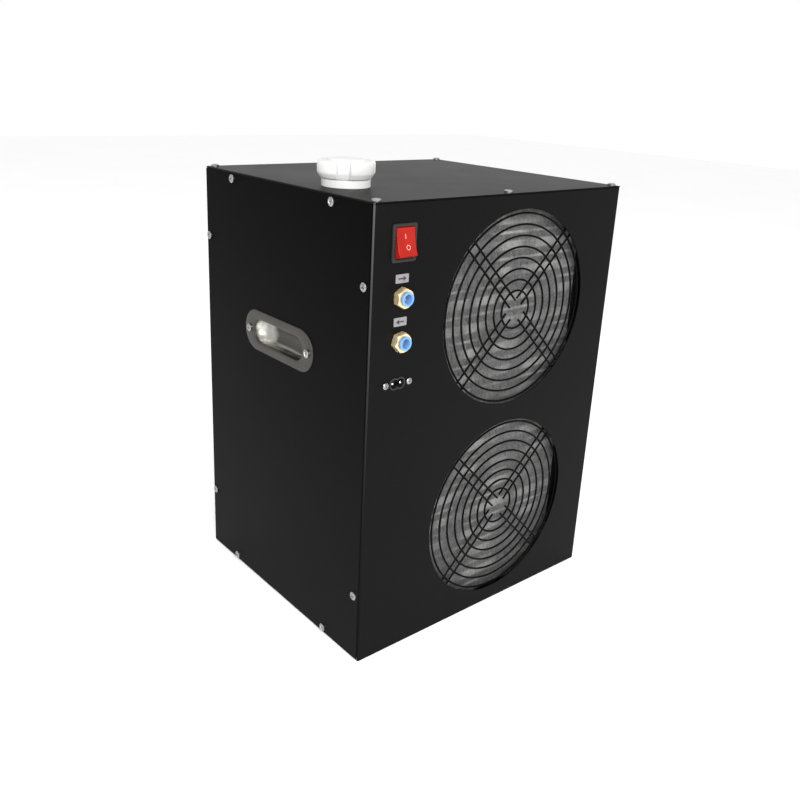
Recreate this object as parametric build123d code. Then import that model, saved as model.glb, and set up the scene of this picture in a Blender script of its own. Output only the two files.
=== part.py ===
"""Bench-top recirculating chiller, in millimetres.

The front faces -Y, +Z is up, and the origin is the centre of the base pan's underside.
A folded sheet-steel box holds a refrigeration circuit that cools a water tank: compressor,
finned condenser behind two fan openings, capillary and an evaporator coil in the tank.
A pump drives the water out of the upper front port and it comes back through the lower one.
"""
import os
from math import cos, radians, sin

from build123d import *

# The box
WIDTH = 320.0
DEPTH = 275.0
HEIGHT = 430.0
SHEET = 1.2
FLANGE = 15.0
BEND = 1.6
CORNER_RELIEF = 4.0
FRONT = -DEPTH / 2
BACK = DEPTH / 2
INSIDE_FRONT = FRONT + SHEET
SHELL_X = WIDTH / 2 - SHEET

# Screws of the box
SCREW_R = 2.0
SCREW_HOLE_R = 2.3
SCREW_LENGTH = 6.0
HEAD_R = 4.0
HEAD_HEIGHT = 2.4
COVER_SCREW_Y = 82.5
COVER_SCREW_Z = (7.0, 423.5)
EDGE_SCREW_Y = 130.0
EDGE_SCREW_Z = (69.0, 361.0)
TOP_SCREW_X = (-152.0, 0.0, 152.0)
TOP_SCREW_Y = 131.5

# Fan openings and their wire guards
FAN_X = 19.0
FAN_Z = {"upper": 320.0, "lower": 110.0}
FAN_HOLE_R = 95.0
WIRE = 1.8
RING_R = [18.6 + 10.13 * n for n in range(8)]
RING_SIDES = 32
ARM_GAP = 11.0
ARM_INNER_R = 13.0
EYE_R = 104.0
GUARD_GAP = 1.5
STUD_COLLAR_R = 6.6
STUD_REACH = 7.0
ARM_TURNS = (45, 135, 225, 315)
FRONT_ARM_TURNS = (135, 315)

# Condenser
COIL_X = (-83.0, 121.0)
COIL_Y = (-121.5, -83.5)
COIL_Z = (15.5, 415.5)
TUBE_R = 4.75
TUBE_PITCH = 25.0
TUBE_ROWS = 16
TUBE_TOP_Z = 403.0
FIN_PITCH = 4.0
FIN = 0.5
END_PLATE = 1.5
END_FLANGE = 9.0

# Fans behind the condenser
FAN_PLATE_Y = COIL_Y[1]
FAN_PLATE_X = (COIL_X[0] - 15.0, COIL_X[1] + 13.0)
FIN_BACK_GAP = 2.0
FAN_BODY = 200.0
FAN_DEPTH = 50.0
FAN_BORE_R = 96.0
BLADE_R = 93.5
HUB_R = 36.0
BLADES = 5
FAN_SHAFT_R = 3.0
RUNNING_GAP = 0.04
BORE_SIDES = 36

# Flush side handles
HANDLE_Z = 282.0
HANDLE_SIZE = (118.0, 41.0)
POCKET_SIZE = (84.0, 23.0)
POCKET_DEPTH = 12.0
HANDLE_WALL = 1.0
HANDLE_SCREW_Y = 50.25

# Filler neck, collar and screw cap
FILLER_X = -118.0
FILLER_Y = -45.0
NECK_R = 19.0
NECK_BORE_R = 16.5
NECK_TOP = HEIGHT + 19.5
COLLAR_R = 20.5
COLLAR_HEIGHT = 7.0
CAP_R = 26.4
CAP_BOTTOM = HEIGHT + COLLAR_HEIGHT + 0.6
CAP_TOP = HEIGHT + 24.2
CAP_BORE_R = 19.7
CAP_NOTCHES = 4
CAP_NOTCH_DEG = 28.0
CAP_NOTCH_DEPTH = 3.6
LINER = 1.6
SEAT_GAP = 0.05

# Column of controls on the front panel
CONTROL_X = -126.6
SWITCH_Z = 396.0
BEZEL_SIZE = (25.5, 32.0)
BEZEL_DEPTH = 1.8
SWITCH_BODY = (21.8, 28.2)
SWITCH_DEPTH = 26.0
ROCKER_WIDTH = 18.8
ROCKER_R = 12.95
ROCKER_TILT = 13.0
ROCKER_PIVOT_Y = FRONT - BEZEL_DEPTH + 2.2
ROCKER_PIN_R = 1.5

PORT_Z = {"upper": 350.0, "lower": 311.5}
PORT_TURN = {"upper": 30.0, "lower": 12.0}
PORT_HEX = 16.0
PORT_HEX_DEPTH = 6.8
PORT_THREAD_R = 6.5
PORT_BARB_R = 5.0
PORT_THREAD_END = FRONT + 18.0
PORT_END = FRONT + 29.5
TUBE_SOCKET_R = 4.1
WATER_BORE_R = 3.0
COLLET_FLANGE_R = 6.15
COLLET_SLEEVE_R = 5.2
COLLET_TRAVEL = 1.2
LABEL_SIZE = (14.0, 7.5)
LABEL_Z = (366.0, 328.8)

INLET_Z = 273.4
INLET_LOBE_R = 5.7
INLET_LOBE_X = 3.3
INLET_RECESS_R = 4.1
INLET_RECESS_DEPTH = 8.0
INLET_PIN_X = 4.3
INLET_SCREW_X = 13.2

# Water side
TANK_X = (FILLER_X - 28.5, FILLER_X + 28.5)
TANK_Y = (-68.0, 100.0)
TANK_Z = (188.5, 405.0)
TANK_WALL = 3.0
TANK_CORNER = 3.0
PUMP_X = FILLER_X
PUMP_Y = -20.0
PUMP_R = 25.0
PUMP_CHAMBER_Z = (50.0, 62.0)
PUMP_INLET_TOP = 82.0
SPOUT_Z = 56.0
SPOUT_END_Y = PUMP_Y - 40.0
STUB_R = 5.0
IMPELLER_R = 20.0
PUMP_SHAFT_R = 2.0
HOSE_R = 6.0
HOSE_X = -106.0
HOSE_Y = -86.0

# Low-voltage supply
SUPPLY_X = (-76.0, -14.0)
SUPPLY_Y = (8.0, 112.0)
SUPPLY_TOP = 38.0

# Refrigeration side
COMPRESSOR_AT = (60.0, 50.0)
COMPRESSOR_R = 54.0
COMPRESSOR_STUBS = ((20.0, 0.0), (-20.0, 10.0))
STUB_RISE = 15.0
COMPRESSOR_Z = (14.7, 150.0)
GROMMET_AT = (50.0, 42.0)
PIPE_R = 3.2
PIPE_BEND = 9.0
CAPILLARY_R = 1.6
DRIER_R = 9.0
DRIER_Y = (-30.0, 60.0)
COIL_MIDDLE_Y = sum(COIL_Y) / 2
COIL_PIPE_X = COIL_X[1] + 8.0
COIL_FOOT_Z = TUBE_TOP_Z - (TUBE_ROWS - 1) * TUBE_PITCH
PIPE_X = 143.0
PIPE_Y = 124.0
EVAPORATOR_TUBE_R = 4.0
EVAPORATOR_ROWS = 6
EVAPORATOR_Y = (-45.0, 80.0)
EVAPORATOR_TOP_Z = 365.0
COIL_TAIL_Y = TANK_Y[1] + 10.0


def block(x0, x1, y0, y1, z0, z1):
    """A box between two corners."""
    box = Box(x1 - x0, y1 - y0, z1 - z0)
    return Pos((x0 + x1) / 2, (y0 + y1) / 2, (z0 + z1) / 2) * box


def along_x(sketch, x0, x1):
    """A sketch drawn in Y and Z, carried from x0 to x1."""
    return extrude(Plane.YZ.offset(x0) * sketch, amount=x1 - x0)


def along_y(sketch, y0, y1):
    """A sketch drawn in X and Z, carried from y0 to y1."""
    return extrude(Plane.XZ.offset(-y0) * sketch, amount=y0 - y1)


def along_z(sketch, z0, z1):
    """A sketch drawn in X and Y, carried from z0 to z1."""
    return extrude(Plane.XY.offset(z0) * sketch, amount=z1 - z0)


def hexagon(flats, turn=0.0):
    """A hexagon by its size across the flats."""
    return Rot(0, 0, turn) * RegularPolygon(flats / 2, 6, major_radius=False)


def screw_hole():
    """A punched clearance hole."""
    return RegularPolygon(SCREW_HOLE_R, 8)


def pan_screw(length=SCREW_LENGTH, shank_r=SCREW_R, head_r=HEAD_R, head=HEAD_HEIGHT):
    """A pan head on z = 0 with its shank below."""
    cap = extrude(RegularPolygon(head_r, 12), amount=head, taper=18)
    return cap + extrude(RegularPolygon(shank_r, 6), amount=-length)


def hex_nut(flats, height, shank_r):
    """A nut on z = 0, clear of the shank that it takes."""
    return extrude(hexagon(flats) - RegularPolygon(shank_r + 0.05, 6), amount=height)


def facing_left(shape):
    """A shape made facing +Z, turned to face -X."""
    return Rot(0, -90, 0) * shape


def facing_front(shape):
    """A shape made facing +Z, turned to face -Y."""
    return Rot(90, 0, 0) * shape


def mirrored(shape):
    """The same shape on the right-hand side."""
    return shape.mirror(Plane.YZ)


def folded_panel():
    """The front sheet of the box, folded back at the top and down both sides."""
    top = HEIGHT - SHEET
    sheet = block(-SHELL_X, SHELL_X, FRONT, FRONT + FLANGE, 0, top)
    bends = sheet.edges().filter_by(Axis.Z).group_by(Axis.Y)[0]
    bends += sheet.edges().filter_by(Axis.X).group_by(Axis.Z)[-1].sort_by(Axis.Y)[:1]
    sheet = fillet(bends, BEND)
    inner = SHELL_X - SHEET
    sheet -= block(-inner, inner, INSIDE_FRONT, 0, -1, top - SHEET)
    for side in (-1, 1):
        x0, x1 = sorted((side * (inner - 0.6), side * WIDTH))
        for z0, z1 in ((-1, FLANGE + 2), (HEIGHT - FLANGE - 3, HEIGHT)):
            sheet -= block(x0, x1, FRONT + BEND + 0.1, 0, z0, z1)
    return sheet


def front_panel():
    """Folded sheet with the two fan openings and the cut-outs of the controls."""
    cuts = Sketch() + [
        Pos(FAN_X, z) * Circle(FAN_HOLE_R) for z in FAN_Z.values()
    ]
    cuts += Pos(CONTROL_X, SWITCH_Z) * Rectangle(SWITCH_BODY[0] + 0.4, SWITCH_BODY[1] + 0.4)
    cuts += [Pos(CONTROL_X, z) * Circle(PORT_THREAD_R + 0.2) for z in PORT_Z.values()]
    cuts += Pos(CONTROL_X, INLET_Z) * inlet_outline(INLET_LOBE_R + 0.2)
    for side in (-1, 1):
        cuts += Pos(CONTROL_X + side * INLET_SCREW_X, INLET_Z) * RegularPolygon(1.8, 8)
    return folded_panel() - along_y(cuts, FRONT - 1, INSIDE_FRONT + 0.1)


def rear_panel():
    """The same fold turned round, with two fields of louvre slots for the warm air."""
    slot = chamfer(Rectangle(78, 5.5).vertices(), 2.4)
    cuts = Sketch() + [
        Pos(-FAN_X, z) * place * slot
        for z in FAN_Z.values() for place in GridLocations(96, 13, 2, 10)
    ]
    panel = folded_panel() - along_y(cuts, FRONT - 1, INSIDE_FRONT + 0.1)
    return Rot(0, 0, 180) * panel


def top_panel():
    """Flat lid folded down at both sides, drilled for the filler neck and six screws."""
    lid = block(-SHELL_X, SHELL_X, FRONT, BACK, HEIGHT - FLANGE, HEIGHT)
    lid = fillet(lid.edges().filter_by(Axis.Y).group_by(Axis.Z)[-1], BEND)
    inner = SHELL_X - SHEET
    lid -= block(-inner, inner, FRONT - 1, BACK + 1, 0, HEIGHT - SHEET)
    for end in (FRONT, BACK):
        lid -= block(
            -WIDTH, WIDTH, end - CORNER_RELIEF, end + CORNER_RELIEF, 0, HEIGHT - SHEET
        )
    holes = Sketch() + Pos(FILLER_X, FILLER_Y) * Circle(NECK_R + 0.4)
    holes += [
        Pos(x, y) * screw_hole() for x in TOP_SCREW_X for y in (-TOP_SCREW_Y, TOP_SCREW_Y)
    ]
    return lid - along_z(holes, HEIGHT - SHEET - 0.1, HEIGHT + 1)


def base_pan():
    """Tray of folded sheet, its corners cut away where the folds meet."""
    y = BACK - SHEET
    pan = block(-SHELL_X, SHELL_X, -y, y, 0, FLANGE)
    pan = fillet(pan.edges().group_by(Axis.Z)[0], BEND)
    pan -= block(-SHELL_X + SHEET, SHELL_X - SHEET, -y + SHEET, y - SHEET, SHEET, FLANGE + 1)
    corner = Pos(0, 0, FLANGE / 2) * Box(2 * CORNER_RELIEF, 2 * CORNER_RELIEF, 2 * FLANGE)
    for x in (-SHELL_X, SHELL_X):
        for end in (-y, y):
            pan -= Pos(x, end, 0) * corner
    return pan


def cover_screw_places():
    """The Y and Z of the eight screws round a side cover."""
    edge = [(y, z) for y in (-EDGE_SCREW_Y, EDGE_SCREW_Y) for z in EDGE_SCREW_Z]
    return edge + [(y, z) for y in (-COVER_SCREW_Y, COVER_SCREW_Y) for z in COVER_SCREW_Z]


def side_cover():
    """Flat left-hand plate over the flanges, cut out for the handle's pocket."""
    plate = Pos(0, HEIGHT / 2) * Rectangle(DEPTH - 2 * BEND - 0.6, HEIGHT - 2 * BEND - 0.4)
    plate -= [Pos(y, z) * screw_hole() for y, z in cover_screw_places()]
    plate -= [Pos(y, HANDLE_Z) * screw_hole() for y in (-HANDLE_SCREW_Y, HANDLE_SCREW_Y)]
    margin = 2 * HANDLE_WALL + 1.0
    plate -= Pos(0, HANDLE_Z) * SlotOverall(POCKET_SIZE[0] + margin, POCKET_SIZE[1] + margin)
    return along_x(plate, -WIDTH / 2, -SHELL_X)


def cover_screws():
    """The eight screws that hold the left-hand cover."""
    screw = facing_left(pan_screw())
    return [Pos(-WIDTH / 2, y, z) * screw for y, z in cover_screw_places()]


def top_screws():
    """Six screws that hold the lid to the front and rear flanges."""
    places = [(x, y) for x in TOP_SCREW_X for y in (-TOP_SCREW_Y, TOP_SCREW_Y)]
    return [Pos(x, y, HEIGHT) * pan_screw() for x, y in places]


def flush_handle():
    """Pressed stainless pull: a flat rim round a pocket for the fingers."""
    face = -WIDTH / 2
    rim = along_x(Pos(0, HANDLE_Z) * SlotOverall(*HANDLE_SIZE), face - HANDLE_WALL, face)
    rim = chamfer(rim.edges().group_by(Axis.X)[0], 0.4)
    outer = SlotOverall(POCKET_SIZE[0] + 2 * HANDLE_WALL, POCKET_SIZE[1] + 2 * HANDLE_WALL)
    cup = along_x(Pos(0, HANDLE_Z) * outer, face, face + POCKET_DEPTH)
    cup = chamfer(cup.edges().group_by(Axis.X)[-1], 3.2)
    floor = face + POCKET_DEPTH - HANDLE_WALL
    hollow = along_x(
        Pos(0, HANDLE_Z) * SlotOverall(*POCKET_SIZE), face - HANDLE_WALL - 1, floor
    )
    hollow = chamfer(hollow.edges().group_by(Axis.X)[-1], 3.6)
    holes = Sketch() + [
        Pos(y, HANDLE_Z) * screw_hole() for y in (-HANDLE_SCREW_Y, HANDLE_SCREW_Y)
    ]
    return rim + cup - hollow - along_x(holes, face - 2, face + 1)


def handle_screws():
    """Two screws of the left-hand pull."""
    screw = facing_left(pan_screw(length=6.6))
    x = -WIDTH / 2 - HANDLE_WALL
    return [Pos(x, y, HANDLE_Z) * screw for y in (-HANDLE_SCREW_Y, HANDLE_SCREW_Y)]


def handle_nuts():
    """Two hexagon nuts behind the left-hand cover."""
    height = 3.2
    nut = facing_left(hex_nut(7.0, height, SCREW_R))
    x = -SHELL_X + height
    return [Pos(x, y, HANDLE_Z) * nut for y in (-HANDLE_SCREW_Y, HANDLE_SCREW_Y)]


def guard_arm():
    """One hairpin of wire along +X: a closed eye outside, two legs to near the centre."""
    outer = ARM_GAP + WIRE
    centre = (ARM_INNER_R + EYE_R) / 2
    length = EYE_R - ARM_INNER_R + outer
    arm = SlotOverall(length, outer) - SlotOverall(length - 2 * WIRE, ARM_GAP - WIRE)
    arm = Pos(centre, 0) * arm
    return arm - Pos(ARM_INNER_R - outer / 2, 0) * Rectangle(outer, outer + 1)


def guard_layers():
    """Where the front arms, the rings and the rear arms of a guard start, front to back."""
    front = INSIDE_FRONT + GUARD_GAP
    return front, front + WIRE, front + 2 * WIRE


def fan_guard(z):
    """Wire guard of eight rings, welded between two hairpin arms in front and two behind."""
    front, middle, rear = guard_layers()
    guard = None
    for radius in RING_R:
        ring = RegularPolygon(radius + WIRE / 2, RING_SIDES)
        ring -= RegularPolygon(radius - WIRE / 2, RING_SIDES)
        band = along_y(Pos(FAN_X, z) * ring, middle, rear)
        guard = band if guard is None else guard + band
    for turn in ARM_TURNS:
        arm = Pos(FAN_X, z) * Rot(0, 0, turn) * guard_arm()
        start = front if turn in FRONT_ARM_TURNS else rear
        guard += along_y(arm, start, start + WIRE)
    return guard


def stud_places():
    """X and Z of each stud that carries a guard, and where the eye on it starts."""
    front, _, rear = guard_layers()
    places = []
    for z in FAN_Z.values():
        for turn in ARM_TURNS:
            x = FAN_X + EYE_R * cos(radians(turn))
            eye = front if turn in FRONT_ARM_TURNS else rear
            places.append((x, z + EYE_R * sin(radians(turn)), eye))
    return places


def guard_studs():
    """Studs welded to the back of the front panel, each with a collar as spacer."""
    studs = []
    for x, z, eye in stud_places():
        collar = along_y(Pos(x, z) * RegularPolygon(STUD_COLLAR_R, 12), INSIDE_FRONT, eye)
        shank = along_y(Pos(x, z) * RegularPolygon(SCREW_R, 6), eye, eye + STUD_REACH)
        studs.append(collar + shank)
    return studs


def guard_nuts():
    """Flange nuts that clamp the eyes of the guards."""
    bore = RegularPolygon(SCREW_R + 0.05, 6)
    nuts = []
    for x, z, eye in stud_places():
        start = eye + WIRE
        flange = along_y(Pos(x, z) * (RegularPolygon(STUD_COLLAR_R, 12) - bore), start,
                         start + 1.0)
        body = along_y(Pos(x, z) * (hexagon(7.0) - bore), start + 1.0, start + 4.4)
        nuts.append(flange + body)
    return nuts


def serpentine(rows, pitch, top, start, turn_at, tube_r):
    """A tube that runs to and fro in the XZ plane, its passes one pitch apart."""
    points = [(start, 0, top)]
    for row in range(rows):
        z = top - row * pitch
        to_right = turn_at[1] if points[-1][0] < sum(turn_at) / 2 else turn_at[0]
        end = start if row == rows - 1 else to_right
        points.append((end, 0, z))
        if row == rows - 1:
            break
        outward = 1 if end == turn_at[1] else -1
        for step in (45, 90, 135):
            reach = pitch / 2 * sin(radians(step))
            drop = pitch / 2 * (1 - cos(radians(step)))
            points.append((end + outward * reach, 0, z - drop))
        points.append((end, 0, z - pitch))
    path = Polyline(*points)
    section = Plane(origin=points[0], z_dir=path % 0) * RegularPolygon(tube_r, 6)
    return sweep(section, path=path, transition=Transition.RIGHT)


def condenser_coil():
    """Copper circuit of sixteen passes, both ends at the right-hand side."""
    coil = serpentine(TUBE_ROWS, TUBE_PITCH, TUBE_TOP_Z, COIL_PIPE_X,
                      (COIL_X[0] - 3, COIL_X[1] + 3), TUBE_R)
    return Pos(0, COIL_MIDDLE_Y, 0) * coil


def condenser_fins():
    """Thin upright aluminium fins, pressed on the passes of the coil."""
    count = int((COIL_X[1] - COIL_X[0]) / FIN_PITCH) - 1
    first = (COIL_X[0] + COIL_X[1] - (count - 1) * FIN_PITCH) / 2
    fin = block(0, FIN, COIL_Y[0], COIL_Y[1] - FIN_BACK_GAP, *COIL_Z)
    return [Pos(first + n * FIN_PITCH - FIN / 2, 0, 0) * fin for n in range(count)]


def coil_end_plate(side):
    """Channel at one end of the fins: a web with a flange along its front and back."""
    x = COIL_X[0] if side < 0 else COIL_X[1]
    web = block(*sorted((x, x + side * END_PLATE)), *COIL_Y, SHEET, COIL_Z[1] + 4)
    reach = sorted((x, x + side * END_FLANGE))
    web += block(*reach, COIL_Y[0], COIL_Y[0] + END_PLATE, SHEET, COIL_Z[1] + 4)
    return web + block(*reach, COIL_Y[1] - END_PLATE, COIL_Y[1], SHEET, COIL_Z[1] + 4)


def fan_plate():
    """Upright partition that carries both fans and makes all the air pass the fins."""
    y0, y1 = FAN_PLATE_Y, FAN_PLATE_Y + SHEET
    plate = block(*FAN_PLATE_X, y0, y1, SHEET, HEIGHT - 4)
    plate += block(*FAN_PLATE_X, y0, y0 + FLANGE, SHEET, 2 * SHEET)
    holes = Sketch() + [
        Pos(FAN_X, z) * RegularPolygon(FAN_HOLE_R, BORE_SIDES) for z in FAN_Z.values()
    ]
    return plate - along_y(holes, y0 - 1, y1 + 1)


def fan_frame(z):
    """Square fan moulding: a round duct, four stays and the cup of the motor."""
    front = FAN_PLATE_Y + SHEET
    rear = front + FAN_DEPTH
    body = along_y(RectangleRounded(FAN_BODY, FAN_BODY, 8), front, rear)
    body -= along_y(RegularPolygon(FAN_BORE_R, BORE_SIDES), front - 1, rear + 1)
    cup = Circle(HUB_R) - Circle(8.0)
    frame = body + along_y(cup, rear - 5, rear)
    stay = Pos((HUB_R + FAN_BORE_R) / 2, 0) * Rectangle(FAN_BORE_R - HUB_R + 6, 6)
    for turn in range(45, 360, 90):
        frame += along_y(Rot(0, 0, turn) * stay, rear - 5, rear)
    return Pos(FAN_X, 0, z) * frame


def fan_bearings():
    """A ring bearing pressed in the cup of each fan."""
    rear = FAN_PLATE_Y + SHEET + FAN_DEPTH
    ring = along_y(Circle(8.0) - Circle(FAN_SHAFT_R + RUNNING_GAP), rear - 5, rear)
    return [Pos(FAN_X, 0, z) * ring for z in FAN_Z.values()]


def fan_blade():
    """One cambered blade, drawn as its section and carried outwards along X."""
    outer = ThreePointArc((-17, -15), (2, 3), (17, 17))
    inner = ThreePointArc((17, 15), (3.4, 0.6), (-15.4, -16))
    edges = [outer, Line(outer @ 1, inner @ 0), inner, Line(inner @ 1, outer @ 0)]
    section = Plane.YZ.offset(HUB_R - 6) * make_face(edges)
    blade = extrude(section, amount=BLADE_R + 10 - HUB_R)
    return blade & along_y(Circle(BLADE_R), -30, 30)


def fan_rotor(z):
    """Hub, blades and shaft of one fan, in one moulding round the steel shaft."""
    middle = FAN_PLATE_Y + SHEET + FAN_DEPTH / 2 - 3
    rear = FAN_PLATE_Y + SHEET + FAN_DEPTH
    blade = fan_blade()
    rotor = along_y(RegularPolygon(HUB_R, 24), -17.5, 17.5)
    for turn in range(BLADES):
        rotor += Rot(0, turn * 360 / BLADES, 0) * blade
    shaft = along_y(Circle(FAN_SHAFT_R), middle + 17, rear + 1.5)
    return Pos(FAN_X, middle, z) * rotor + Pos(FAN_X, 0, z) * shaft


def inlet_outline(lobe_r):
    """Two overlapping circles side by side."""
    left = Pos(-INLET_LOBE_X, 0) * Circle(lobe_r)
    return left + Pos(INLET_LOBE_X, 0) * Circle(lobe_r)


def power_inlet():
    """Two-pole figure-of-eight inlet, its plate screwed on from behind the panel."""
    at = Pos(CONTROL_X, INLET_Z)
    body = along_y(at * inlet_outline(INLET_LOBE_R), FRONT - 0.8, INSIDE_FRONT)
    plate = SlotOverall(2 * INLET_SCREW_X + 8, 12.5)
    plate -= [Pos(s * INLET_SCREW_X, 0) * RegularPolygon(1.7, 8) for s in (-1, 1)]
    body += along_y(at * plate, INSIDE_FRONT, INSIDE_FRONT + 2.5)
    body += along_y(at * Rectangle(17, 10.5), INSIDE_FRONT + 2.5, INSIDE_FRONT + 16)
    floor = FRONT - 0.8 + INLET_RECESS_DEPTH
    body -= along_y(at * inlet_outline(INLET_RECESS_R), FRONT - 2, floor)
    holes = Sketch() + [Pos(s * INLET_PIN_X, 0) * Circle(1.2) for s in (-1, 1)]
    return body - along_y(at * holes, floor - 1, INSIDE_FRONT + 17)


def inlet_pins():
    """Two round pins that pass through to solder tags."""
    start = FRONT + 0.4
    pins = []
    for side in (-1, 1):
        at = Pos(CONTROL_X + side * INLET_PIN_X, INLET_Z)
        pins.append(along_y(at * Circle(1.2), start, INSIDE_FRONT + 23))
    return pins


def inlet_screws():
    """Two small pan screws beside the inlet."""
    screw = facing_front(pan_screw(length=8, shank_r=1.5, head_r=3.0, head=2.0))
    return [Pos(CONTROL_X + s * INLET_SCREW_X, FRONT, INLET_Z) * screw for s in (-1, 1)]


def inlet_nuts():
    """Nuts of the two inlet screws."""
    height = 2.4
    nut = facing_front(hex_nut(5.5, height, 1.5))
    y = INSIDE_FRONT + 2.5 + height
    return [Pos(CONTROL_X + s * INLET_SCREW_X, y, INLET_Z) * nut for s in (-1, 1)]


def switch_housing():
    """Bezel and body of the mains switch, open in front for the rocker."""
    at = Pos(CONTROL_X, SWITCH_Z)
    bezel = along_y(at * RectangleRounded(*BEZEL_SIZE, 1.5), FRONT - BEZEL_DEPTH, FRONT)
    bezel = chamfer(bezel.faces().sort_by(Axis.Y)[0].edges(), 0.6)
    housing = bezel + along_y(at * Rectangle(*SWITCH_BODY), FRONT, FRONT + SWITCH_DEPTH)
    well = Rectangle(ROCKER_WIDTH + 0.6, 2 * ROCKER_R + 0.7)
    housing -= along_y(at * well, FRONT - 5, FRONT + 12)
    pin_hole = Pos(ROCKER_PIVOT_Y, SWITCH_Z) * Circle(ROCKER_PIN_R + RUNNING_GAP)
    reach = ROCKER_WIDTH / 2 + 1.2
    return housing - along_x(pin_hole, CONTROL_X - reach, CONTROL_X + reach)


def switch_rocker():
    """Rocker on two side pins, resting with its upper half pressed in."""
    half, sagitta = 11.7, 1.0
    dish_r = (half ** 2 + sagitta ** 2) / (2 * sagitta)
    face_y = -4.6
    section = Circle(ROCKER_R) - Pos(face_y - dish_r, 0) * Circle(dish_r)
    section &= Pos(-3, 0) * Rectangle(18, 2 * ROCKER_R)
    rocker = along_x(section, -ROCKER_WIDTH / 2, ROCKER_WIDTH / 2)
    pin = ROCKER_WIDTH / 2 + 1.0
    rocker += along_x(Circle(ROCKER_PIN_R), -pin, pin)
    return Pos(CONTROL_X, ROCKER_PIVOT_Y, SWITCH_Z) * Rot(-ROCKER_TILT, 0, 0) * rocker


def facing_front_cone(y0, y1, r0, growth):
    """A cone that opens from r0 at y0 by growth at y1, for turned chamfers."""
    profile = Polyline((0, y0), (r0, y0), (r0 + growth, y1), (0, y1), close=True)
    return revolve(make_face(profile), axis=Axis.Y)


def port_body(which):
    """Brass bulkhead body of a push-in fitting, with a hose tail inside the box."""
    hex_front = FRONT - PORT_HEX_DEPTH
    head = along_y(hexagon(PORT_HEX, PORT_TURN[which]), hex_front, FRONT)
    head &= facing_front_cone(hex_front, FRONT, PORT_HEX / 2 + 0.2, 5.0)
    body = head + along_y(Circle(PORT_THREAD_R), FRONT, PORT_THREAD_END)
    body += along_y(Circle(PORT_BARB_R), PORT_THREAD_END, PORT_END)
    collet_end = FRONT - 0.5
    body -= along_y(Circle(COLLET_SLEEVE_R + 0.1), hex_front - 1, collet_end)
    body -= along_y(Circle(TUBE_SOCKET_R), collet_end - 1, collet_end + 14.0)
    body -= along_y(Circle(WATER_BORE_R), FRONT, PORT_END + 1)
    return Pos(CONTROL_X, 0, PORT_Z[which]) * body


def release_collet(which):
    """Blue release ring: a flange outside and a sleeve that slides in the body."""
    back = FRONT - PORT_HEX_DEPTH - COLLET_TRAVEL - 0.1
    flange = along_y(Circle(COLLET_FLANGE_R), back - 1.7, back)
    flange = chamfer(flange.edges().group_by(Axis.Y)[0], 0.5)
    collet = flange + along_y(Circle(COLLET_SLEEVE_R), back, FRONT - 2.0)
    collet -= along_y(Circle(TUBE_SOCKET_R + 0.1), back - 3, FRONT)
    return Pos(CONTROL_X, 0, PORT_Z[which]) * collet


def port_nuts():
    """Lock nuts of the two fittings, behind the panel."""
    nut = hexagon(18.0, 30) - Circle(PORT_THREAD_R + 0.05)
    nut = along_y(nut, INSIDE_FRONT, INSIDE_FRONT + 4.5)
    return [Pos(CONTROL_X, 0, z) * nut for z in PORT_Z.values()]


def port_labels():
    """Small plates stuck to the panel, one above each port."""
    plate = along_y(RectangleRounded(*LABEL_SIZE, 0.8), FRONT - 0.4, FRONT)
    return [Pos(CONTROL_X, 0, z) * plate for z in LABEL_Z]


def tank_plan():
    """The tank from above: a rectangle with its corners cut off."""
    outline = Rectangle(TANK_X[1] - TANK_X[0], TANK_Y[1] - TANK_Y[0])
    outline = chamfer(outline.vertices(), TANK_CORNER)
    return Pos(sum(TANK_X) / 2, sum(TANK_Y) / 2) * outline


def water_tank():
    """Moulded tub with a return stub in front and an outlet in its floor."""
    floor, rim = TANK_Z[0], TANK_Z[1] - TANK_WALL
    tank = along_z(tank_plan(), floor, rim)
    lower_port = Pos(CONTROL_X, PORT_Z["lower"])
    outlet = Pos(PUMP_X, PUMP_Y)
    tank += along_y(lower_port * RegularPolygon(STUB_R, 12), TANK_Y[0] - 12, TANK_Y[0] + 1)
    tank += along_z(outlet * RegularPolygon(STUB_R, 12), floor - 14, floor + 1)
    x0, x1 = TANK_X[0] + TANK_WALL, TANK_X[1] - TANK_WALL
    y0, y1 = TANK_Y[0] + TANK_WALL, TANK_Y[1] - TANK_WALL
    tank -= block(x0, x1, y0, y1, floor + TANK_WALL, rim + 1)
    tank -= along_z(outlet * RegularPolygon(WATER_BORE_R, 8), floor - 15, floor + 5)
    tank -= along_y(lower_port * RegularPolygon(WATER_BORE_R, 8), TANK_Y[0] - 13, TANK_Y[0] + 5)
    for z in evaporator_end_heights():
        hole = Pos(FILLER_X, z) * Rot(0, 0, 30) * RegularPolygon(EVAPORATOR_TUBE_R + 0.15, 6)
        tank -= along_y(hole, TANK_Y[1] - 5, TANK_Y[1] + 1)
    return tank


def tank_lid():
    """Lid welded on the tub, with the filler neck that stands out of the box."""
    lid = along_z(tank_plan(), TANK_Z[1] - TANK_WALL, TANK_Z[1])
    neck = Pos(FILLER_X, FILLER_Y) * Circle(NECK_R)
    lid += along_z(neck, TANK_Z[1] - 1, NECK_TOP)
    bore = Pos(FILLER_X, FILLER_Y) * Circle(NECK_BORE_R)
    return lid - along_z(bore, TANK_Z[1] - 5, NECK_TOP + 1)


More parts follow.
